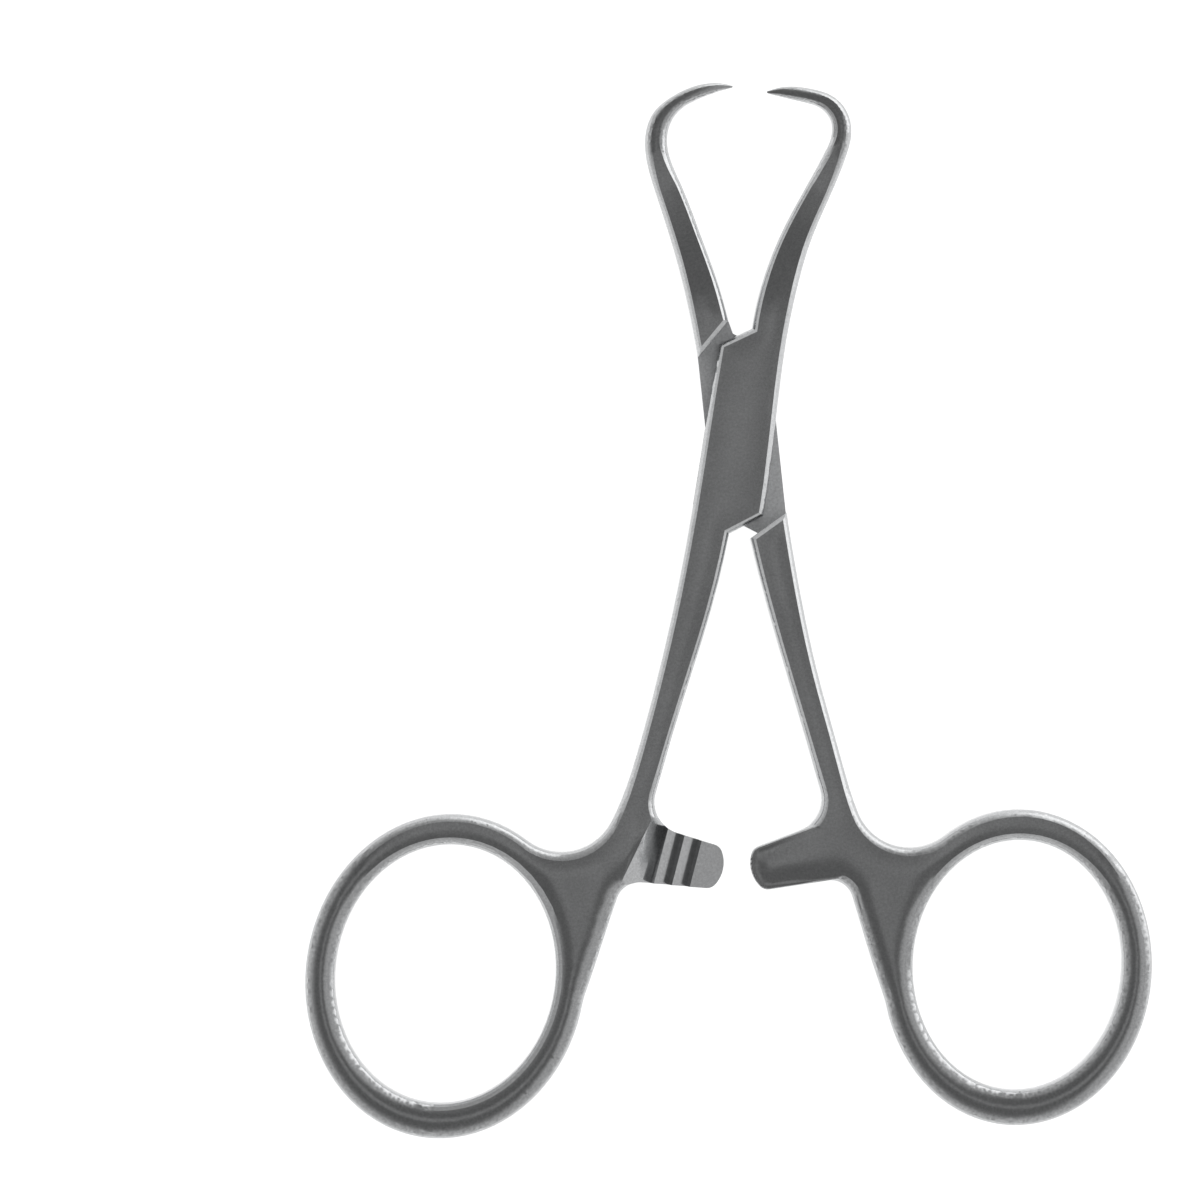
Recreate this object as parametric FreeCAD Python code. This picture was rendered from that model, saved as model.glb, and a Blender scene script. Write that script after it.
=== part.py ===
"""Box-lock towel clamp: box half, tongue half and pivot rivet.

Millimetres. The origin is on the pivot axis in the plane that the clamp
rests on. +Y points to the jaws, +X to the right-hand jaw and +Z is up.
"""
import FreeCAD, Part
import math
import os

V = FreeCAD.Vector

# Box lock
box_thickness = 4.2        # over both walls
box_reach = 8.78           # pivot to the far corners of the box
tongue_thickness = 1.6
tongue_half_width = 3.03   # pivot to the long edges of the tongue
tongue_lean = 7.2          # degrees off the long axis
slot_play = 0.05           # on each face of the tongue
slot_reach = 7.45          # pivot to the end walls of the slot
slot_end_lean = 52.3       # direction of the end walls from +X
tongue_end_play = 0.35     # tongue end to slot end wall
tongue_end_lean = 64.0     # direction of the tongue ends from +X
rivet_radius = 1.1
rivet_head_radius = 1.6
rivet_head_depth = 0.45
rivet_play = 0.03          # radial, in the tongue

# Shoulders of the tongue half, as distance from the pivot and direction
jaw_shoulder = 6.9
jaw_shoulder_lean = 141.4
shank_shoulder = 7.88
shank_shoulder_lean = -53.3
shoulder_bevel = 0.35

# Thickness away from the box
jaw_thickness = 2.3        # where the hook begins
shank_thickness = 3.3      # beside the ratchet
ring_thickness = 3.0
edge_round = 0.9           # along every long edge
face_grind = 0.13          # ground off the rounded forging, which leaves a crisp edge to the flats
arm_edge_round = 0.3       # along the edges of the ratchet arms
ratchet_round = 0.95       # corners of the ratchet ends, in plan

# Jaws and hooks
tip_width = 0.16
jaw_reach = 29.55          # pivot to the points
hook_height = 8.95         # bend of the jaws to the points
hook_start = jaw_reach - hook_height
hook_grind = 0.3           # share of a hook along which the ground flats run out

# Finger rings: opening, band and place of each
ring_band = 2.55           # at the sides of a ring
ring_band_end = 2.8        # at its two ends, on average
ring_sag = 0.2             # outer oval below the opening
left_opening = (9.4, 11.1)     # half width, half length
left_centre = (-24.4, -46.85)
left_lean = -7.0
right_opening = (8.95, 10.7)
right_centre = (24.47, -45.15)
right_lean = -1.8
ring_blend = 4.8           # outside, between shank and ring
heel_blend = 6.0           # inside, where shank and ring meet

# Ratchet arms
arm_blend = 2.8            # upper side, arm to shank
arm_heel_blend = 2.0       # lower side, arm to ring
arm_end_width = 3.7
arm_taper = 5.6            # degrees on each side
arm_bulge = 0.7            # rounding of the end in plan
left_arm_root = (-9.28, -35.93)    # on the middle line of the shank
left_arm_lean = -10.2
right_arm_root = (9.82, -35.21)
right_arm_lean = 15.8
arm_length = 8.6           # from the root to the end
tooth_count = 3
tooth_pitch = 1.52
tooth_height = 0.7
tooth_back = 0.3           # run of the steep side
tooth_first = 2.4          # end of the arm to the first tooth
tooth_lead = 0.2           # end of the arm below the roots
tooth_runout = (1.6, 3.08)    # last tooth to the full thickness, at the upper and lower flank
tooth_reach = (2.85, 3.95)     # cutter from the middle of the arm to beyond each flank
tooth_lean = -3.2          # of the teeth, from square across the arm

middle = box_thickness / 2
span = 200.0


def polar(angle, length=1.0):
    """Vector in the plan at an angle in degrees from +X."""
    a = math.radians(angle)
    return V(length * math.cos(a), length * math.sin(a), 0)


def meet(angle_a, reach_a, angle_b, reach_b):
    """Crossing of two lines given by normal direction and distance."""
    a, b = polar(angle_a), polar(angle_b)
    det = a.x * b.y - a.y * b.x
    return V((reach_a * b.y - reach_b * a.y) / det, (a.x * reach_b - b.x * reach_a) / det, 0)


def curve(points):
    """Smooth edge through points in the plan."""
    spline = Part.BSplineCurve()
    spline.interpolate([V(p[0], p[1], 0) for p in points])
    return spline.toShape()


def split_curve(points, at):
    """Smooth curve through points as two edges that meet at one of them."""
    spline = Part.BSplineCurve()
    spline.interpolate([V(p[0], p[1], 0) for p in points])
    cut = spline.parameter(V(points[at][0], points[at][1], 0))
    return spline.toShape(spline.FirstParameter, cut), spline.toShape(cut, spline.LastParameter)


def line(start, end):
    return Part.makeLine(V(start[0], start[1], 0), V(end[0], end[1], 0))


def plate(edges, low=-1.0, high=None):
    """Straight-sided solid over a closed outline."""
    high = box_thickness + 1.0 if high is None else high
    wire = Part.Wire(Part.__sortEdges__(edges))
    wire.translate(V(0, 0, low))
    return Part.Face(wire).extrude(V(0, 0, high - low))


def polygon_plate(points, low=-1.0, high=None):
    points = [(p[0], p[1]) for p in points]
    return plate([line(a, b) for a, b in zip(points, points[1:] + points[:1])], low, high)


def oval_plate(centre, half_width, half_length, lean):
    """Upright elliptic solid, its long axis leaning from +Y."""
    ellipse = Part.Ellipse(V(0, 0, 0), half_length, half_width)
    halves = [ellipse.toShape(0, math.pi), ellipse.toShape(math.pi, 2 * math.pi)]
    for half in halves:
        half.rotate(V(0, 0, 0), V(0, 0, 1), lean + 90)
        half.translate(V(centre[0], centre[1], 0))
    return plate(halves)


def jaw_level(share):
    """Place along the jaws, from the end of the box to the bend."""
    return box_reach + (hook_start - box_reach) * share


def side_envelope(extra=0.0):
    """Thickness of the whole clamp, seen from the side; extra is added on each face above the rings."""
    box, jaw, shank, ring = (t / 2 for t in (box_thickness, jaw_thickness, shank_thickness, ring_thickness))
    poles = [(-75, ring), (-60, ring), (-46, ring), (-37, shank)]
    poles += [(y, h + extra) for y, h in (
        (-28, shank), (-19, (box + shank) / 2), (-1.54 * box_reach, box), (-1.03 * box_reach, box),
        (-0.5 * box_reach, box), (0, box), (0.5 * box_reach, box), (1.03 * box_reach, box),
        (jaw_level(0.23), box), (jaw_level(0.525), (box + jaw) / 2), (hook_start - 1.5, jaw),
        (hook_start + 9, jaw))]
    upper, lower = Part.BSplineCurve(), Part.BSplineCurve()
    upper.buildFromPoles([V(-span / 2, y, middle + h) for y, h in poles], False, 3)
    lower.buildFromPoles([V(-span / 2, y, middle - h) for y, h in poles], False, 3)
    ends = [Part.makeLine(upper.value(u), lower.value(u)) for u in (upper.FirstParameter, upper.LastParameter)]
    wire = Part.Wire([upper.toShape(), ends[1], lower.toShape(), ends[0]])
    return Part.Face(wire).extrude(V(span, 0, 0))


def nearest_upright(body, point):
    """Upright edge of a plan solid that stands nearest to a point."""
    upright = [e for e in body.Edges if len(e.Vertexes) == 2
               and (e.Vertexes[0].Point - e.Vertexes[1].Point).cross(V(0, 0, 1)).Length < 1e-6]
    return min(upright, key=lambda e: math.hypot(e.Vertexes[0].X - point[0], e.Vertexes[0].Y - point[1]))


def round_plan(body, corners):
    """Rounds upright corners; each entry is a point and a radius."""
    for point, radius in corners:
        body = body.makeFillet(radius, [nearest_upright(body, point)])
    return body


def round_rims(body, radius, keep_sharp=()):
    """Rounds the long edges of a body, save those on the end planes given."""
    def on_end(edge):
        middle_point = edge.valueAt((edge.FirstParameter + edge.LastParameter) / 2)
        return any(abs((middle_point - at).dot(normal)) < 0.01 for at, normal in keep_sharp)
    rims = [e for e in body.Edges
            if abs(e.valueAt((e.FirstParameter + e.LastParameter) / 2).z - middle) > 0.9 and not on_end(e)]
    return body.makeFillet(radius, rims)


def forge(body, keep_sharp=()):
    """Turns a plan solid into a forging with rounded rims and faces ground flat."""
    rounded = round_rims(body.common(side_envelope(face_grind)), edge_round, keep_sharp)
    return rounded.common(side_envelope())


def arm_frame(root, lean):
    """End point of an arm, its direction to the shank and the one across it to the ring."""
    side = -1 if root[0] < 0 else 1
    back = polar(lean) * side
    return V(root[0], root[1], 0) - back * arm_length, back, V(back.y, -back.x, 0) * side


def arm_plate(root, lean):
    """Ratchet arm in plan: two straight flanks and a bulging end with rounded corners."""
    at, back, across = arm_frame(root, lean)
    half = arm_end_width / 2
    wide = half + arm_length * math.tan(math.radians(arm_taper))
    near = [at + back * arm_bulge + across * s * half for s in (-1, 1)]
    far = [at + back * arm_length + across * s * wide for s in (-1, 1)]
    arm = plate([Part.Arc(near[0], at, near[1]).toShape(), line(near[1], far[1]),
                 line(far[1], far[0]), line(far[0], near[0])])
    return round_plan(arm, [(corner, ratchet_round) for corner in near])


def ratchet_arm(root, lean):
    """Ratchet arm as a bar with fine edges, its far end inside the shank."""
    back = arm_frame(root, lean)[1]
    arm = arm_plate(root, lean).common(side_envelope())
    return round_rims(arm, arm_edge_round, [(V(root[0], root[1], 0), back)])


def tooth_tool(root_point, lean, face):
    """Solid that cuts the saw teeth; face is +1 for the upper side, -1 for the lower."""
    at = arm_frame(root_point, lean)[0]
    back, across = arm_frame(root_point, lean + face * tooth_lean)[1:]
    crest, root = tooth_height / 2, -tooth_height / 2
    lead_slope = (tooth_height + tooth_lead) / tooth_first
    profile = [(-3.0, crest - (tooth_first + 3.0) * lead_slope), (tooth_first, crest)]
    for number in range(tooth_count):
        start = tooth_first + number * tooth_pitch
        profile.append((start + tooth_back, root))
        if number < tooth_count - 1:
            profile.append((start + tooth_pitch, crest))
    last = profile[-1][0]
    profile += [(last + 0.4, box_thickness), (-3.0, box_thickness)]

    def outline(corners, offset):
        points = [at + back * s + V(0, 0, middle + face * h) + across * offset for s, h in corners]
        return Part.makePolygon(points + points[:1])
    upper, lower = -tooth_reach[0], tooth_reach[1]
    teeth = Part.Face(outline(profile, upper)).extrude(across * (lower - upper))
    ramps = []
    for offset, runout in zip((upper, lower), tooth_runout):
        ramps.append(outline([(last, root), (last - tooth_back + runout, shank_thickness / 2 + 0.1),
                              (last + runout, box_thickness), (last, box_thickness)], offset))
    return teeth.fuse(Part.makeLoft(ramps, True, True))


def handle_plate(outline, centre, opening, lean, arm_root, arm_lean):
    """Shank outline joined with its ring and ratchet arm, blends included."""
    ring = oval_plate((centre[0], centre[1] - ring_sag), opening[0] + ring_band, opening[1] + ring_band_end, lean)
    body = outline.fuse([ring, arm_plate(arm_root, arm_lean)]).removeSplitter()
    side = -1 if centre[0] < 0 else 1
    body = round_plan(body, [
        ((centre[0] - side * 10.5, centre[1] + 7.2), ring_blend),
        ((side * 7.0, -33.6), arm_blend),
        ((side * 9.9, -38.6), arm_heel_blend),
        ((centre[0] - side * 12.1, centre[1] - 2.6), heel_blend)])
    return body.cut(oval_plate(centre, opening[0], opening[1], lean))


def hook(start, outer_edge, inner_edge):
    """Tapering hook from the flat end of a jaw to its point."""
    sections = [start.OuterWire]
    for share in (0.04, 0.13, 0.25, 0.37, 0.49, 0.61, 0.73, 0.85, 0.94, 1.0):
        a = outer_edge.valueAt(outer_edge.getParameterByLength(outer_edge.Length * share))
        b = inner_edge.valueAt(inner_edge.getParameterByLength(inner_edge.Length * share))
        high = tip_width + (start.BoundBox.ZLength - tip_width) * (1 - share ** 3)
        sections.append(rounded_section(a, b, high, face_grind * max(0.0, 1 - share / hook_grind)))
    return Part.makeLoft(sections, True, False)


def rounded_section(a, b, high, grind):
    """Rectangle that stands on the line a to b, its corners rounded before its two faces are ground."""
    wide = (b - a).Length
    along, up = (b - a).normalize(), V(0, 0, 1)
    radius = min(edge_round, 0.42 * wide, 0.42 * high)
    rise = math.asin((radius - grind) / radius)
    centre = (a + b) / 2 + V(0, 0, middle)

    def corner(sx, sz, angle):
        x = wide / 2 - radius + radius * math.cos(angle)
        z = high / 2 + grind - radius + radius * math.sin(angle)
        return centre + along * sx * x + up * sz * z
    edges, ends = [], []
    for sx, sz in ((1, 1), (-1, 1), (-1, -1), (1, -1)):
        points = [corner(sx, sz, share * rise) for share in (0, 0.5, 1)]
        points = points if sx * sz > 0 else points[::-1]
        edges.append(Part.Arc(*points).toShape())
        ends.append((points[0], points[2]))
    sides = [Part.makeLine(ends[i][1], ends[(i + 1) % 4][0]) for i in range(4)]
    return Part.Wire([edge for pair in zip(edges, sides) for edge in pair])


def jaw_end(outer, inner):
    """Plane across the end of a jaw: a point and the normal."""
    a, b = V(outer[0], outer[1], 0), V(inner[0], inner[1], 0)
    return a, V(b.y - a.y, a.x - b.x, 0).normalize()


def end_face(body, plane):
    at, normal = plane
    flat = [f for f in body.Faces if abs((f.CenterOfMass - at).dot(normal)) < 0.01
            and abs(abs(f.normalAt(0, 0).dot(normal)) - 1) < 1e-6]
    return min(flat, key=lambda f: (f.CenterOfMass - at).Length)


def slot_tool():
    """Slot through the box for the tongue, closed by an end wall at each end."""
    low = middle - tongue_thickness / 2 - slot_play
    high = middle + tongue_thickness / 2 + slot_play
    normal, side = polar(slot_end_lean), polar(slot_end_lean + 90)
    corners = [normal * s * slot_reach + side * s * t * 30 for s, t in ((1, 1), (1, -1), (-1, 1), (-1, -1))]
    return polygon_plate(corners, low, high)


def rivet():
    """Rivet with two flared heads, flush with the box faces."""
    half = box_thickness / 2
    profile = [V(0, 0, 0), V(rivet_head_radius, 0, 0), V(rivet_radius, 0, rivet_head_depth),
               V(rivet_radius, 0, 2 * half - rivet_head_depth), V(rivet_head_radius, 0, 2 * half),
               V(0, 0, 2 * half)]
    return Part.Face(Part.makePolygon(profile + profile[:1])).revolve(V(0, 0, 0), V(0, 0, 1), 360)


def box_half():
    """Jaw on the right, ring on the left, with the box between them."""
    corners = [(-2.05, 7.4), (0.75, box_reach), (2.0, -7.2), (-0.9, -box_reach)]
    turn = (7.2, hook_start - 0.35), (5.22, hook_start + 0.6)
    outer, outer_tip = split_curve(
        [corners[2], (2.95, 1.38), (3.75, 8.3), (4.6, jaw_level(0.33)), (5.7, jaw_level(0.66)), turn[0],
         (8.55, jaw_reach - 5.75),
         (8.93, jaw_reach - 3.75), (7.95, jaw_reach - 1.25), (5.3, jaw_reach - 0.1), (3.1, jaw_reach),
         (1.64, jaw_reach - 0.4)], 5)
    inner, inner_tip = split_curve(
        [corners[1], (1.53, jaw_level(0.33)), (2.95, jaw_level(0.67)), turn[1], (6.75, jaw_reach - 5.4),
         (7.25, jaw_reach - 3.2),
         (6.5, jaw_reach - 1.95), (4.4, jaw_reach - 1.2), (2.9, jaw_reach - 0.87),
         (1.66, jaw_reach - 0.4 - tip_width)], 3)
    x, y = left_centre
    outline = plate([
        curve([(x + 10.0, y + 6.3), (x + 12.0, y + 9.8), (x + 14.2, y + 13.85), (-8.07, -26.55), (-5.7, -16.24),
               (-3.93, -5.94), (-2.7, 3.0), corners[0]]),
        line(corners[0], corners[1]), inner, line(turn[1], turn[0]), outer, line(corners[2], corners[3]),
        curve([corners[3], (-2.54, -16.18), (-5.51, -26.5), (x + 17.2, y + 14.2), (x + 14.8, y + 7.5),
               (x + 12.4, y - 0.2), (x + 10.8, y - 4.7)]),
        line((x + 10.8, y - 4.7), (x + 10.0, y + 6.3))])
    plan = handle_plate(outline, left_centre, left_opening, left_lean, left_arm_root, left_arm_lean)
    plane = jaw_end(*turn)
    body = forge(plan, [plane])
    tip = hook(end_face(body, plane), outer_tip, inner_tip)
    body = body.fuse(ratchet_arm(left_arm_root, left_arm_lean))
    body = body.cut([tooth_tool(left_arm_root, left_arm_lean, 1), slot_tool(), rivet()])
    return body.fuse(tip)


def shoulder_tool(reach, lean):
    """Clears the walls of the tongue half up to a bevelled shoulder."""
    normal, side = polar(lean), polar(lean + 90)
    low, high = -1.0, box_thickness + 1.0
    bevel = shoulder_bevel + 1.0
    profile = [(-30, low), (reach + bevel, low), (reach, low + bevel), (reach, high - bevel),
               (reach + bevel, high), (-30, high)]
    points = [normal * n + V(0, 0, z) - side * 40 for n, z in profile]
    return Part.Face(Part.makePolygon(points + points[:1])).extrude(side * 80)


def tongue():
    """Thin plate that runs through the slot, from shoulder to shoulder."""
    edge_lean = 180 + tongue_lean
    end_reach = slot_reach - tongue_end_play
    upper = [meet(edge_lean, tongue_half_width, jaw_shoulder_lean, jaw_shoulder + 0.8), V(-1.3, 9.4, 0),
             meet(tongue_end_lean, end_reach, 19.4, 1.93),
             meet(tongue_end_lean, end_reach, tongue_lean, tongue_half_width)]
    lower = [meet(tongue_lean, tongue_half_width, shank_shoulder_lean, shank_shoulder + 0.8), V(1.25, -9.9, 0),
             meet(180 + tongue_end_lean, end_reach, 180 + 19.4, 1.4),
             meet(180 + tongue_end_lean, end_reach, edge_lean, tongue_half_width)]
    body = polygon_plate(upper + lower, middle - tongue_thickness / 2, middle + tongue_thickness / 2)
    return body.cut(Part.makeCylinder(rivet_radius + rivet_play, box_thickness))


def tongue_half():
    """Jaw on the left, ring on the right, joined by the tongue."""
    turn = (-7.75, hook_start - 0.25), (-5.55, hook_start + 0.4)
    outer, outer_tip = split_curve(
        [(-3.3, 3.3), (-4.05, 7.4), (-5.23, jaw_level(0.315)), (-6.45, jaw_level(0.66)), turn[0],
         (-8.72, jaw_reach - 4.95),
         (-8.15, jaw_reach - 2.6), (-6.5, jaw_reach - 1.05), (-4.44, jaw_reach - 0.05), (-2.6, jaw_reach + 0.22),
         (-1.28, jaw_reach)], 4)
    inner, inner_tip = split_curve(
        [(-0.4, 6.0), (-1.3, 9.4), (-2.24, jaw_level(0.32)), (-3.75, jaw_level(0.66)), turn[1],
         (-6.8, jaw_reach - 5.1),
         (-6.5, jaw_reach - 3.2), (-5.4, jaw_reach - 1.85), (-4.0, jaw_reach - 1.1), (-2.5, jaw_reach - 0.5),
         (-1.34, jaw_reach - tip_width)], 4)
    jaw = plate([outer, line(*turn), inner, line((-0.4, 6.0), (-3.3, 3.3))])
    x, y = right_centre
    shank = plate([
        curve([(3.55, -3.9), (4.0, -6.9), (4.72, -10.9), (7.0, -20.9), (9.0, -27.6), (x - 13.75, y + 12.5),
               (x - 11.9, y + 9.1), (x - 10.1, y + 5.6)]),
        line((x - 10.1, y + 5.6), (x - 10.6, y - 4.9)),
        curve([(x - 10.6, y - 4.9), (x - 12.1, y - 0.9), (x - 14.5, y + 6.5), (x - 16.9, y + 13.9), (6.04, -26.28),
               (2.85, -16.07), (1.0, -9.4), (0.2, -6.0)]),
        line((0.2, -6.0), (3.55, -3.9))])
    shank = handle_plate(shank, right_centre, right_opening, right_lean, right_arm_root, right_arm_lean)
    plane = jaw_end(*turn)
    jaw, shank = forge(jaw, [plane]), forge(shank)
    tip = hook(end_face(jaw, plane), outer_tip, inner_tip)
    jaw = jaw.cut(shoulder_tool(jaw_shoulder, jaw_shoulder_lean))
    shank = shank.fuse(ratchet_arm(right_arm_root, right_arm_lean))
    shank = shank.cut([shoulder_tool(shank_shoulder, shank_shoulder_lean),
                       tooth_tool(right_arm_root, right_arm_lean, -1)])
    return tongue().fuse([jaw, shank, tip])


def main():
    os.makedirs("parts", exist_ok=True)
    for name, make in (("box_half", box_half), ("tongue_half", tongue_half), ("pivot_rivet", rivet)):
        shape = make().removeSplitter()
        print(name, "valid", shape.isValid(), "solids", len(shape.Solids), "volume", round(shape.Volume, 2))
        shape.exportStep(os.path.join("parts", name + ".step"))


main()
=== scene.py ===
"""Looks of the box-lock towel clamp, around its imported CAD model.

The clamp lies flat, as in the photograph, and the camera looks straight
down on it. All lengths are metres in the frame of the CAD model: +Y points
to the jaws and +Z up from the floor.
"""
import logging
import math
from dataclasses import dataclass
from enum import Enum

import bmesh
import bpy
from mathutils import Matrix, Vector
from mathutils.bvhtree import BVHTree
from mathutils.geometry import delaunay_2d_cdt
from mathutils.kdtree import KDTree


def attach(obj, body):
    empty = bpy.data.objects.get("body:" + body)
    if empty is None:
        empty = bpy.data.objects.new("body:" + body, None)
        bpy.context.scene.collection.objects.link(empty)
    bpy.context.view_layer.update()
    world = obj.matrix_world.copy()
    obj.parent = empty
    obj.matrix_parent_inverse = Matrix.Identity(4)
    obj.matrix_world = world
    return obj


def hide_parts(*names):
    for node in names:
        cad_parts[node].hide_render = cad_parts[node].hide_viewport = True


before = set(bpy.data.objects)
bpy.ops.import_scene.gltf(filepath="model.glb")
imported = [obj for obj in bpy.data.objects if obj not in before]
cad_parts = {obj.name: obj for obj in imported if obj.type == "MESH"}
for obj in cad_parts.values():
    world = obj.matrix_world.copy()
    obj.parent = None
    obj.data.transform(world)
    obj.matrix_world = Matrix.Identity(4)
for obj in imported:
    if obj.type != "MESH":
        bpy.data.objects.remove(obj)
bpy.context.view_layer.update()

log = logging.getLogger("towel_clamp")
MM = 0.001
UP = Vector((0, 0, 1))
WHITE = (1.0, 1.0, 1.0, 1.0)
# Kind of mesh that delaunay_2d_cdt gives: triangles inside the outline
INSIDE_OUTLINE = 1


def linear(code: str) -> tuple[float, float, float, float]:
    """Linear colour of an sRGB hex code.

    Args:
        code: Colour such as "#C0C0C0".

    Returns:
        Red, green, blue and an alpha of 1.
    """
    shares = [int(code[i:i + 2], 16) / 255 for i in (1, 3, 5)]
    curve = [s / 12.92 if s <= 0.04045 else ((s + 0.055) / 1.055) ** 2.4 for s in shares]
    return (*curve, 1.0)


def add(tree: bpy.types.NodeTree, kind: str, inputs: dict | None = None,
        **settings: object) -> bpy.types.Node:
    """Adds one node with its settings and links.

    Args:
        tree: Node tree of a material or of the world.
        kind: Type of the node, without its "ShaderNode".
        inputs: Value or output socket for each input, by name or number.
        settings: Properties of the node.

    Returns:
        The new node.
    """
    node = tree.nodes.new("ShaderNode" + kind)
    for key, value in settings.items():
        setattr(node, key, value)
    for key, value in (inputs or {}).items():
        if isinstance(value, bpy.types.NodeSocket):
            tree.links.new(value, node.inputs[key])
        else:
            node.inputs[key].default_value = value
    return node


def noise(tree: bpy.types.NodeTree, place: bpy.types.NodeSocket, scale: float,
          character: tuple[float, float]) -> bpy.types.NodeSocket:
    """Adds a noise texture.

    Args:
        tree: Node tree of a material.
        place: Coordinates.
        scale: Scale of the noise.
        character: Detail and roughness of the noise.

    Returns:
        The noise, between 0 and 1.
    """
    detail, roughness = character
    return add(tree, "TexNoise", {"Vector": place, "Scale": scale, "Detail": detail,
                                  "Roughness": roughness}).outputs["Fac"]


def ramp(tree: bpy.types.NodeTree, value: bpy.types.NodeSocket, ends: tuple[float, float],
         levels: tuple[float, float] = (0.0, 1.0), eased: bool = True) -> bpy.types.NodeSocket:
    """Turns a value into a level that is held beyond both ends.

    Args:
        tree: Node tree of a material or of the world.
        value: The value.
        ends: Values at which the first and the last level are reached.
        levels: First and last level.
        eased: Whether the level sets off and arrives softly.

    Returns:
        The level.
    """
    return add(tree, "MapRange", {"Value": value, "From Min": ends[0], "From Max": ends[1],
                                  "To Min": levels[0], "To Max": levels[1]},
               interpolation_type="SMOOTHSTEP" if eased else "LINEAR").outputs["Result"]


def combine(tree: bpy.types.NodeTree, operation: str,
            *values: bpy.types.NodeSocket | float) -> bpy.types.NodeSocket:
    """Folds values into one, from the first to the last.

    Args:
        tree: Node tree of a material or of the world.
        operation: Operation of the Math node.
        values: At least two output sockets or numbers.

    Returns:
        The result.
    """
    result = values[0]
    for value in values[1:]:
        result = add(tree, "Math", {0: result, 1: value}, operation=operation).outputs[0]
    return result


class Grain(Enum):
    """Direction that the last grinding ran in, in degrees from +X."""

    ALONG_BOX_HALF = 83.0
    ALONG_TONGUE_HALF = 97.0
    ACROSS = 8.0


@dataclass(frozen=True)
class SatinSteel:
    """Martensitic stainless steel, ground and then satin brushed.

    The brushing leaves short shallow lines that spread each reflection
    along one direction. Small flecks dent and shade the surface, and its
    roughness varies in soft clouds.

    Attributes:
        name: Name of the material.
        grain: Direction of the lines.
        colour: Colour as a hex code.
        roughness: Roughness on average.
        roughness_spread: How far the clouds move the roughness, up or down.
        line_width: Size of the lines across the grain.
        line_length: Size of the lines along the grain.
        line_depth: Depth of the lines.
        line_noise: Detail and roughness of their noise.
        fleck_size: Size of the flecks.
        fleck_depth: Depth of the flecks.
        fleck_dark: Shade of the darkest flecks.
        fleck_light: Shade of the lightest flecks.
        fleck_noise: Detail and roughness of their noise.
        fleck_ends: Noise at which the darkest and the lightest shade are reached.
        cloud_size: Size of the clouds.
        cloud_noise: Detail and roughness of their noise.
        cloud_ends: Noise at which the least and the most roughness are reached.
    """

    name: str
    grain: Grain
    colour: str = "#C4C5C6"
    roughness: float = 0.2
    roughness_spread: float = 0.03
    line_width: float = 0.14 * MM
    line_length: float = 1.6 * MM
    line_depth: float = 0.7e-6
    line_noise: tuple[float, float] = (3.0, 0.6)
    fleck_size: float = 0.22 * MM
    fleck_depth: float = 0.5e-6
    fleck_dark: float = 0.86
    fleck_light: float = 1.1
    fleck_noise: tuple[float, float] = (2.0, 0.65)
    fleck_ends: tuple[float, float] = (0.25, 0.75)
    cloud_size: float = 3.0 * MM
    cloud_noise: tuple[float, float] = (4.0, 0.6)
    cloud_ends: tuple[float, float] = (0.3, 0.7)

    def material(self) -> bpy.types.Material:
        """Builds the material.

        Returns:
            Node-based steel that reads Object coordinates.
        """
        made = bpy.data.materials.new(self.name)
        made.use_nodes = True
        tree = made.node_tree
        tree.nodes.clear()
        place = add(tree, "TexCoord").outputs["Object"]
        turned = add(tree, "VectorRotate",
                     {"Vector": place, "Angle": -math.radians(self.grain.value)},
                     rotation_type="Z_AXIS")
        stretch = (1 / self.line_length, 1 / self.line_width, 1 / self.line_width)
        lined = add(tree, "VectorMath", {0: turned.outputs["Vector"], 1: stretch},
                    operation="MULTIPLY")
        lines = noise(tree, lined.outputs["Vector"], 1.0, self.line_noise)
        flecks = noise(tree, place, 1 / self.fleck_size, self.fleck_noise)
        clouds = noise(tree, place, 1 / self.cloud_size, self.cloud_noise)
        smoothest = self.roughness - self.roughness_spread
        roughest = self.roughness + self.roughness_spread
        rough = ramp(tree, clouds, self.cloud_ends, (smoothest, roughest), eased=False)
        shade = ramp(tree, flecks, self.fleck_ends, (self.fleck_dark, self.fleck_light),
                     eased=False)
        steel = add(tree, "Mix", {"Factor": 1.0, "A": linear(self.colour), "B": shade},
                    data_type="RGBA", blend_type="MULTIPLY")
        brushed = add(tree, "Bump", {"Height": lines, "Distance": self.line_depth,
                                     "Strength": 1.0})
        pitted = add(tree, "Bump", {"Height": flecks, "Distance": self.fleck_depth,
                                    "Strength": 1.0, "Normal": brushed.outputs["Normal"]})
        shader = add(tree, "BsdfPrincipled", {"Base Color": steel.outputs["Result"],
                                              "Metallic": 1.0, "Roughness": rough,
                                              "Normal": pitted.outputs["Normal"]})
        add(tree, "OutputMaterial", {"Surface": shader.outputs["BSDF"]})
        return made


def smooth_step(share: float) -> float:
    """Eases from 0 to 1.

    Args:
        share: Position, held between 0 and 1.

    Returns:
        The eased position.
    """
    share = min(max(share, 0.0), 1.0)
    return share * share * (3 - 2 * share)


def take_region(faces: dict[bmesh.types.BMFace, None]) -> list[bmesh.types.BMFace]:
    """Takes one group of faces that hang together, always in the same order.

    Args:
        faces: Faces to take from, as keys.

    Returns:
        The group.
    """
    group = [faces.popitem()[0]]
    for face in group:
        for other in (f for edge in face.edges for f in edge.link_faces):
            if other in faces:
                del faces[other]
                group.append(other)
    return group


def along(edge: bmesh.types.BMEdge, step: float) -> list[Vector]:
    """Points along an edge, its ends included.

    Args:
        edge: The edge.
        step: Largest distance between two points.

    Returns:
        The points.
    """
    a, b = (v.co for v in edge.verts)
    count = max(1, math.ceil((a - b).length / step))
    return [a.lerp(b, i / count) for i in range(count + 1)]


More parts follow.
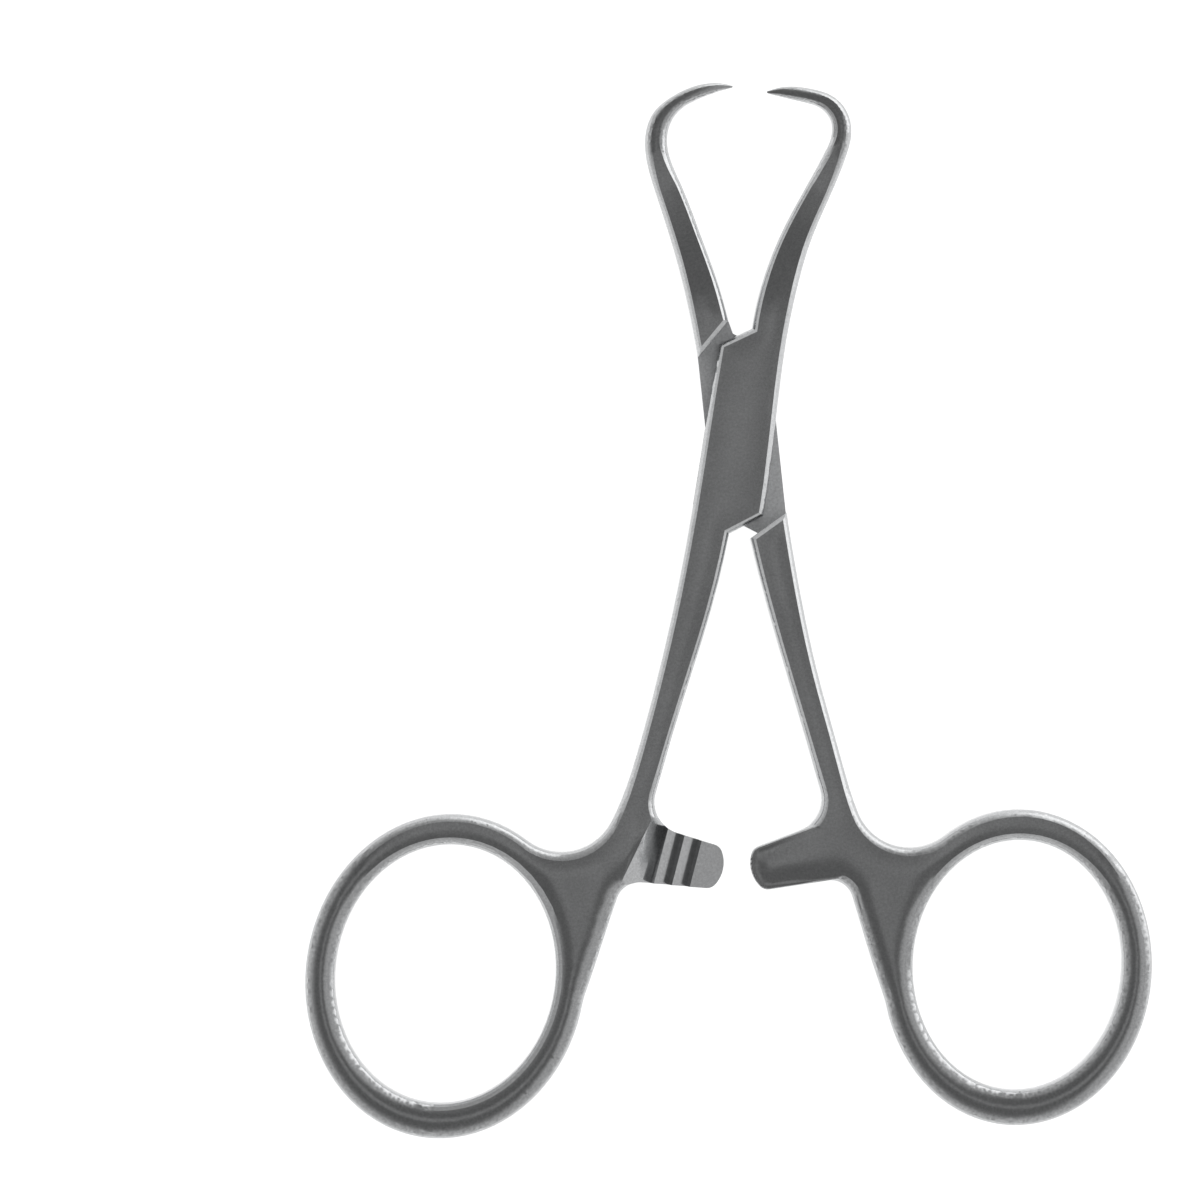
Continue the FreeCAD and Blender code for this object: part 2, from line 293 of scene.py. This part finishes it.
def plan_tree(points: list[Vector]) -> KDTree:
    """Search tree of points seen in plan.

    Args:
        points: The points.

    Returns:
        Balanced tree, with all heights zero.
    """
    tree = KDTree(len(points))
    for number, point in enumerate(points):
        tree.insert((point.x, point.y, 0.0), number)
    tree.balance()
    return tree


@dataclass
class Forging:
    """One forged half, or the rivet, dressed for close views.

    The ground flats of the real clamp look very slightly crowned. Here each
    falls off towards its rim, by up to 0.07 mm on the box, jaws and shanks
    and by up to 0.14 mm at the finger rings.

    Attributes:
        node: CAD node that the piece stands for.
        body: Body that it rides on.
        finish: Steel of its outside.
        slot_finish_with_painted_light: Steel of the tongue and of the slot. It is rougher than
            the rest, and its lighter colour is painted light on these recessed faces.
        walls: Points of the outer walls in plan, from the node's own mesh unless given.
        weld: Distance within which vertices are welded.
        lift: Distance in front of a face at which a ray sets off.
        crease: Smallest angle of a crisp edge, in degrees.
        middle: Height halfway between the two faces of the clamp.
        face_height: Distance from the middle beyond which the outer flats lie.
        reach: Distance from the middle that is clear of the clamp.
        flat_tilt: Least upright part of the normal of a flat.
        upright: Largest upright part of the normal of a wall.
        cell: Cell of the grid that a flat is filled with.
        rim_steps: Number of points for each cell along rims and walls.
        rim_clear: Part of a cell beside a rim that holds no grid point.
        merge: Distance within which points of the new mesh merge, in millimetres.
        pivot_clear: Radius around the pivot in which walls don't count.
        lock_reach: Radius around the pivot that holds the box lock.
        strip: Width of the rounding beside a wall, which is drawn down with the flat.
        crown_width: Distance from a wall within which a flat falls off.
        crown_share: Largest fall, as a part of the height above face_height.
        ring_width: Such a distance at the finger rings.
        ring_share: Such a part at the finger rings.
        ring_from: Y at which the shank's crown starts to turn into the ring's.
        ring_full: Y at which it has become the ring's.
    """

    node: str
    body: str
    finish: bpy.types.Material
    slot_finish_with_painted_light: bpy.types.Material
    walls: KDTree | None = None
    weld: float = 0.002 * MM
    lift: float = 0.002 * MM
    crease: float = 16.0
    middle: float = 2.1 * MM
    face_height: float = 0.85 * MM
    reach: float = 5.0 * MM
    flat_tilt: float = 0.985
    upright: float = 0.12
    cell: float = 0.4 * MM
    rim_steps: int = 4
    rim_clear: float = 0.6
    merge: float = 1e-6
    pivot_clear: float = 1.8 * MM
    lock_reach: float = 12.0 * MM
    strip: float = 0.43 * MM
    crown_width: float = 2.9 * MM
    crown_share: float = 0.085
    ring_width: float = 1.75 * MM
    ring_share: float = 0.5
    ring_from: float = -32.0 * MM
    ring_full: float = -42.0 * MM

    def build(self) -> bpy.types.Object:
        """Makes the dressed piece that stands for the CAD node.

        Returns:
            The piece, riding on its body.
        """
        bm = bmesh.new()
        bm.from_mesh(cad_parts[self.node].data)
        bmesh.ops.remove_doubles(bm, verts=bm.verts, dist=self.weld)
        bmesh.ops.dissolve_degenerate(bm, edges=bm.edges, dist=self.weld)
        self.crown(bm)
        self.mark_creases(bm)
        self.part_finishes_and_painted_light(bm)
        mesh = bpy.data.meshes.new(self.node + "_steel")
        bm.to_mesh(mesh)
        bm.free()
        mesh.materials.append(self.finish)
        mesh.materials.append(self.slot_finish_with_painted_light)
        piece = bpy.data.objects.new(self.node + "_steel", mesh)
        bpy.context.scene.collection.objects.link(piece)
        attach(piece, self.body)
        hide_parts(self.node)
        return piece

    def crown(self, bm: bmesh.types.BMesh) -> None:
        """Gives the ground flats a finer mesh and lets them fall off towards their rims.

        Args:
            bm: Welded mesh of the piece.
        """
        bm.normal_update()
        walls = self.walls = self.walls or self.outer_walls(bm)
        for side in (1, -1):
            flats = dict.fromkeys(
                f for f in bm.faces if f.normal.z * side > self.flat_tilt
                and (f.calc_center_median().z - self.middle) * side > self.face_height)
            while flats:
                self.refine(bm, take_region(flats), side)
        for vert in bm.verts:
            height = vert.co.z - self.middle
            above = abs(height) - self.face_height
            if above < 0:
                continue
            away = walls.find((vert.co.x, vert.co.y, 0.0))[2]
            ring = smooth_step((self.ring_from - vert.co.y) / (self.ring_from - self.ring_full))
            share = self.crown_share + ring * (self.ring_share - self.crown_share)
            width = self.crown_width + ring * (self.ring_width - self.crown_width)
            fall = share * above * (1 - min(away / width, 1.0)) ** 2 * min(away / self.strip, 1.0)
            vert.co.z -= math.copysign(fall, height)

    def outer_walls(self, bm: bmesh.types.BMesh) -> KDTree:
        """Collects points, in plan, along the upright walls with open sky above.

        Args:
            bm: Mesh of the piece.

        Returns:
            Search tree of the points, all at height zero.
        """
        solid = BVHTree.FromBMesh(bm)
        step = self.cell / self.rim_steps
        points = []
        for face in bm.faces:
            beside = face.calc_center_median() + face.normal * self.lift
            if beside.xy.length < self.pivot_clear:
                continue
            if abs(face.normal.z) < self.upright and not solid.ray_cast(beside, UP)[0]:
                points += [p for edge in face.edges for p in along(edge, step)]
        return plan_tree(points)

    def refine(self, bm: bmesh.types.BMesh, region: list[bmesh.types.BMFace], side: int) -> None:
        """Replaces the long triangles of one flat by small even ones.

        Args:
            bm: Mesh of the piece.
            region: Faces of the flat.
            side: 1 for an upper flat, -1 for a lower one.
        """
        faces = set(region)
        corners = list(dict.fromkeys(v for f in region for v in f.verts))
        spot = {v: i for i, v in enumerate(corners)}
        surface = BVHTree.FromPolygons([v.co for v in corners],
                                       [[spot[v] for v in f.verts] for f in region])
        edges = dict.fromkeys(e for f in region for e in f.edges)
        rim = [e for e in edges if sum(f in faces for f in e.link_faces) == 1]
        border = list(dict.fromkeys(v for e in rim for v in e.verts))
        spot = {v: i for i, v in enumerate(border)}
        rim_points = plan_tree([p for e in rim for p in along(e, self.cell / self.rim_steps)])
        clear = self.rim_clear * self.cell
        grid = [p for p in self.grid(corners, surface, side)
                if rim_points.find((p.x, p.y, 0.0))[2] > clear]
        flat = [v.co.xy / MM for v in border] + [p.xy / MM for p in grid]
        ends = [[spot[v] for v in e.verts] for e in rim]
        plan, _, triangles, origin, _, _ = delaunay_2d_cdt(flat, ends, [], INSIDE_OUTLINE,
                                                           self.merge)
        if not all(origin):
            log.warning("flat of %d faces at %s left as it came: a new point has no origin",
                        len(region),
                        tuple(round(c / MM, 2) for c in region[0].calc_center_median()))
            return
        centres = [sum((plan[i] for i in t), Vector((0, 0))) / 3 * MM for t in triangles]
        kept = [t for t, centre in zip(triangles, centres) if self.drop(centre, surface, side)]
        bmesh.ops.delete(bm, geom=region, context="FACES")
        inner = [bm.verts.new(p) for p in grid]
        verts = [(border + inner)[o[0]] for o in origin]
        for triangle in kept:
            bm.faces.new([verts[i] for i in (triangle if side > 0 else reversed(triangle))])
        bm.normal_update()

    def grid(self, corners: list[bmesh.types.BMVert], surface: BVHTree,
             side: int) -> list[Vector]:
        """Lays an even triangular grid of points over one flat.

        Args:
            corners: Corners of the flat, for its extent.
            surface: The flat.
            side: 1 for an upper flat, -1 for a lower one.

        Returns:
            The grid's points on the flat.
        """
        left, right = min(v.co.x for v in corners), max(v.co.x for v in corners)
        near, far = min(v.co.y for v in corners), max(v.co.y for v in corners)
        pitch = self.cell * math.sqrt(3) / 2
        found = []
        for row in range(math.ceil((far - near) / pitch)):
            for column in range(math.ceil((right - left) / self.cell) + 1):
                place = Vector((left + (column - row % 2 / 2) * self.cell, near + row * pitch))
                found.append(self.drop(place, surface, side))
        return [p for p in found if p]

    def drop(self, place: Vector, surface: BVHTree, side: int) -> Vector | None:
        """Finds the point of a flat at one place in plan.

        Args:
            place: Place in plan.
            surface: The flat.
            side: 1 for an upper flat, -1 for a lower one.

        Returns:
            The point, or None beside the flat.
        """
        start = Vector((place.x, place.y, self.middle + side * self.reach))
        return surface.ray_cast(start, UP * -side)[0]

    def mark_creases(self, bm: bmesh.types.BMesh) -> None:
        """Keeps ground edges crisp and shades the rest smooth.

        Args:
            bm: Welded mesh of the piece.
        """
        for face in bm.faces:
            face.smooth = True
        limit = math.radians(self.crease)
        for edge in bm.edges:
            edge.smooth = edge.is_manifold and edge.calc_face_angle(0.0) < limit

    def part_finishes_and_painted_light(self, bm: bmesh.types.BMesh) -> None:
        """Gives the tongue and the slot, between the two flats, the rough finish left by milling.
        Its lighter steel colour is painted light on these recessed faces.

        Args:
            bm: Mesh of the piece.
        """
        for face in bm.faces:
            centre = face.calc_center_median()
            between = abs(centre.z - self.middle) < self.face_height
            # Faces of the tongue and slot, which get the lighter steel: painted light on recessed
            # faces.
            milled_painted_light = between and centre.xy.length < self.lock_reach
            face.material_index = int(milled_painted_light and abs(face.normal.z) > self.flat_tilt)


@dataclass
class Studio:
    """White floor, soft dome and camera.

    The ends of the dome's lights are parts of a direction of length 1: its
    part along X, along Z, or towards the key light.

    Attributes:
        floor_half: Half of the floor's width.
        floor_drop: Depth of the floor below the clamp.
        floor_colour: Colour that takes the shadow.
        floor_own: Light of the floor itself, to the eye and in reflections.
        overhead: Light from straight above.
        horizon: Light from low down.
        dome_ends: Z at which the light is that of overhead and of the horizon.
        lamp_gain: Light that the small lamp overhead adds.
        lamp_ends: Z at the rim and at the full light of the lamp.
        key_way: Direction of the key light.
        key_gain: Light that the key light adds.
        key_ends: Part towards key_way at its rim and at its full light.
        key_heights: Z at its upper rim and at its full light.
        fill_gain: Light that the fill light on the right adds.
        fill_sides: X at its rim and at its full light.
        fill_heights: Z at its lower rim and at its full light.
        view_centre: Point in the middle of the picture.
        view_width: Width of the picture at that point.
        view_turn: Turn of the camera, in degrees.
        lens: Focal length, in millimetres.
        sensor: Width of the sensor, in millimetres.
        near_clip: Distance at which the view starts.
    """

    floor_half: float = 1.5
    floor_drop: float = 0.05 * MM
    floor_colour: str = "#ACACAC"
    floor_own: float = 0.93
    overhead: float = 0.14
    horizon: float = 0.78
    dome_ends: tuple[float, float] = (0.93, 0.3)
    lamp_gain: float = 0.17
    lamp_ends: tuple[float, float] = (0.985, 0.999)
    key_way: tuple[float, float, float] = (0.72, 0.69, 0.0)
    key_gain: float = 0.95
    key_ends: tuple[float, float] = (0.45, 0.9)
    key_heights: tuple[float, float] = (0.7, 0.45)
    fill_gain: float = 0.3
    fill_sides: tuple[float, float] = (0.22, 0.45)
    fill_heights: tuple[float, float] = (0.6, 0.8)
    view_centre: tuple[float, float, float] = (-12.50 * MM, -13.97 * MM, 2.1 * MM)
    view_width: float = 101.3 * MM
    view_turn: float = 1.1
    lens: float = 200.0
    sensor: float = 36.0
    near_clip: float = 0.01

    def floor(self) -> None:
        """Lays the floor, white to the eye and in reflections, with the clamp's shadow on it."""
        bm = bmesh.new()
        bmesh.ops.create_grid(bm, x_segments=1, y_segments=1, size=self.floor_half)
        bmesh.ops.translate(bm, verts=bm.verts, vec=(0, 0, -self.floor_drop))
        mesh = bpy.data.meshes.new("floor")
        bm.to_mesh(mesh)
        bm.free()
        plane = bpy.data.objects.new("floor", mesh)
        bpy.context.scene.collection.objects.link(plane)
        paint = bpy.data.materials.new("white_table")
        paint.use_nodes = True
        tree = paint.node_tree
        tree.nodes.clear()
        rays = add(tree, "LightPath").outputs
        seen = combine(tree, "MAXIMUM", rays["Is Camera Ray"], rays["Is Glossy Ray"],
                       rays["Is Transmission Ray"])
        own = combine(tree, "MULTIPLY", seen, self.floor_own)
        glow = add(tree, "Emission", {"Color": WHITE, "Strength": own})
        matt = add(tree, "BsdfDiffuse", {"Color": linear(self.floor_colour)})
        both = add(tree, "AddShader", {0: glow.outputs[0], 1: matt.outputs[0]})
        add(tree, "OutputMaterial", {"Surface": both.outputs[0]})
        mesh.materials.append(paint)

    def dome(self) -> None:
        """Soft light all round, dim overhead but for one small lamp.

        A low key light stands ahead on the right, and a fill light high on the right.
        """
        world = bpy.data.worlds.new("studio")
        bpy.context.scene.world = world
        world.use_nodes = True
        tree = world.node_tree
        tree.nodes.clear()
        way = add(tree, "TexCoord").outputs["Generated"]
        part = add(tree, "SeparateXYZ", {"Vector": way}).outputs
        dome = ramp(tree, part["Z"], self.dome_ends, (self.overhead, self.horizon))
        lamp = ramp(tree, part["Z"], self.lamp_ends, (0.0, self.lamp_gain))
        towards = add(tree, "VectorMath", {0: way, 1: self.key_way}, operation="DOT_PRODUCT")
        ahead = ramp(tree, towards.outputs["Value"], self.key_ends, (0.0, self.key_gain))
        key = combine(tree, "MULTIPLY", ahead, ramp(tree, part["Z"], self.key_heights))
        aside = ramp(tree, part["X"], self.fill_sides, (0.0, self.fill_gain))
        fill = combine(tree, "MULTIPLY", aside, ramp(tree, part["Z"], self.fill_heights))
        light = combine(tree, "ADD", dome, lamp, key, fill)
        sky = add(tree, "Background", {"Color": WHITE, "Strength": light})
        add(tree, "OutputWorld", {"Surface": sky.outputs[0]})

    def camera(self) -> None:
        """Looks straight down, as the photograph does."""
        data = bpy.data.cameras.new("camera")
        data.lens = self.lens
        data.sensor_width = self.sensor
        data.sensor_height = self.sensor
        data.sensor_fit = "HORIZONTAL"
        data.clip_start = self.near_clip
        eye = bpy.data.objects.new("camera", data)
        bpy.context.scene.collection.objects.link(eye)
        away = self.lens * self.view_width / self.sensor
        eye.location = Vector(self.view_centre) + Vector((0, 0, away))
        eye.rotation_euler = (0, 0, math.radians(self.view_turn))
        bpy.context.scene.camera = eye

    def build(self) -> None:
        """Sets up the whole studio."""
        self.floor()
        self.dome()
        self.camera()
        bpy.context.scene.view_settings.view_transform = "Standard"


def main() -> None:
    """Builds the clamp and its studio."""
    logging.basicConfig(level=logging.INFO, format="%(message)s")
    box_steel = SatinSteel("satin_steel_box_half", Grain.ALONG_BOX_HALF).material()
    tongue_steel = SatinSteel("satin_steel_tongue_half", Grain.ALONG_TONGUE_HALF).material()
    # Steel of the tongue and slot. It is rougher, as milling leaves it, and lighter in colour
    # than the other steel. The lighter colour is painted light on these recessed faces.
    milled_painted_light = SatinSteel("milled_steel_painted_light", Grain.ACROSS, colour="#DEDFE0", roughness=0.75,
                        fleck_depth=1.0e-6).material()
    box_half = Forging("box_half", "box_side", box_steel, milled_painted_light)
    tongue_half = Forging("tongue_half", "tongue_side", tongue_steel, milled_painted_light)
    pieces = [box_half.build(), tongue_half.build()]
    pivot_rivet = Forging("pivot_rivet", "box_side", box_steel, milled_painted_light, box_half.walls)
    pieces.append(pivot_rivet.build())
    for piece in pieces:
        log.info("%s: %d faces", piece.name, len(piece.data.polygons))
    Studio().build()


if __name__ == "__main__":
    main()
